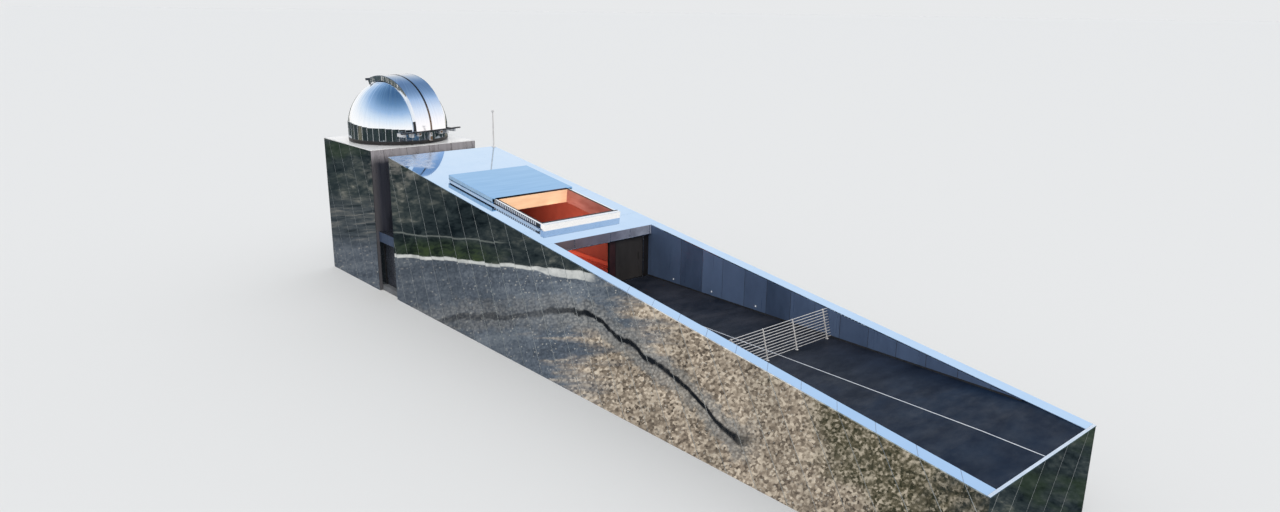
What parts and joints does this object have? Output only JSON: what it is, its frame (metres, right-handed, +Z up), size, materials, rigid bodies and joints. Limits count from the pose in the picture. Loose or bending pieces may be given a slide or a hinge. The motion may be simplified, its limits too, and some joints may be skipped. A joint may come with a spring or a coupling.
{
  "type": "hillside observatory building with dome tower, 1:2 scale model",
  "caption": "Mirror-clad observatory: square tower with a turning slit dome, entrance link, and a wedge wing with sliding roof hatch and sunken sloping terrace; 1:2 scale model.",
  "frame": {"origin": "centre of the footprint at ground level, on the underside of the wing's ground floor", "axes": "+X along the building from the dome tower to the wing's low end, +Y across it away from the side that the picture shows, +Z up"},
  "size_m": [21.5, 3.3, 5.92],
  "materials": {
    "mirror_facade": "mirror-polished steel panels, dark with what they reflect",
    "roof_steel": "polished pale steel sheet with the sky in it",
    "cover_steel": "polished steel sheet, slightly deeper blue",
    "white_sheet": "satin white",
    "dome_steel": "polished with fine vertical streaks",
    "terrace_lining": "satin blue-grey panels",
    "hatch_reveal": "pale lining in warm light",
    "terrace_floor": "near-black matt coating, patchy",
    "room_floor": "red poured floor",
    "concrete": "plain concrete",
    "dark_frame": "black powder coat",
    "screen_post": "dark red-brown satin",
    "clear_glass": "clear",
    "door_panel": "charcoal satin",
    "stainless": "brushed stainless"
  },
  "bodies": {
    "root": {"tower_near_wall": "mirror_facade", "tower_far_wall": "mirror_facade", "tower_back_wall": "mirror_facade", "tower_front_wall": "mirror_facade", "tower_floor": "concrete", "tower_roof": "white_sheet", "link_floor": "concrete", "link_roof": "terrace_lining", "link_far_wall": "mirror_facade", "entrance_frame": "dark_frame", "entrance_side_panel": "door_panel", "wing_near_wall": "mirror_facade", "wing_far_wall": "mirror_facade", "wing_back_wall": "mirror_facade", "wing_end_wall": "mirror_facade", "wing_ground_floor": "concrete", "room_floor": "room_floor", "terrace_floor": "terrace_floor", "wing_roof": "roof_steel", "roof_fascia": "mirror_facade", "coping_near": "roof_steel", "coping_far": "roof_steel", "coping_end": "roof_steel", "lining_near": "terrace_lining", "lining_far": "terrace_lining", "floor_strip": "stainless", "terrace_railing": "stainless", "screen_frame": "dark_frame", "screen_glass": "clear_glass", "screen_post": "screen_post", "terrace_doors": "door_panel", "hatch_curb": "hatch_reveal", "hatch_end_box": "white_sheet", "cover_rail_near": "stainless", "cover_rail_far": "stainless", "mast": "stainless", "dome_base_ring": "stainless"},
    "dome": {"dome_skirt": "dome_steel", "dome_shell": "dome_steel", "slit_curb": "stainless", "shutter_rail_lower": "stainless", "shutter_rail_upper": "stainless"},
    "near_shutter": {"shutter_near": "dome_steel", "shutter_near_frame": "dome_steel"},
    "far_shutter": {"shutter_far": "dome_steel", "shutter_far_frame": "dome_steel"},
    "cover": {"roof_cover": "cover_steel"},
    "entrance_leaf": {"entrance_door": "door_panel"}
  },
  "joints": [
    {"name": "dome_turn", "type": "hinge", "parent": "root", "child": "dome", "pos_m": [-9.16, 0, 4.415], "axis": [0, 0, 1], "continuous": true},
    {"name": "near_shutter_slide", "type": "slide", "parent": "dome", "child": "near_shutter", "axis": [0.2028, -0.9792, 0], "range_m": [0, 0.5]},
    {"name": "far_shutter_slide", "type": "slide", "parent": "dome", "child": "far_shutter", "axis": [-0.2028, 0.9792, 0], "range_m": [0, 0.5]},
    {"name": "roof_cover_slide", "type": "slide", "parent": "root", "child": "cover", "axis": [0.9911, 0, -0.1328], "range_m": [0, 1.855]},
    {"name": "entrance_hinge", "type": "hinge", "parent": "root", "child": "entrance_leaf", "pos_m": [-7.509, -1.4, 0.15], "axis": [0, 0, 1], "range_deg": [0, 90]}
  ],
  "couplings": [
    {"joint": "far_shutter_slide", "follows": "near_shutter_slide", "ratio": 1}
  ]
}
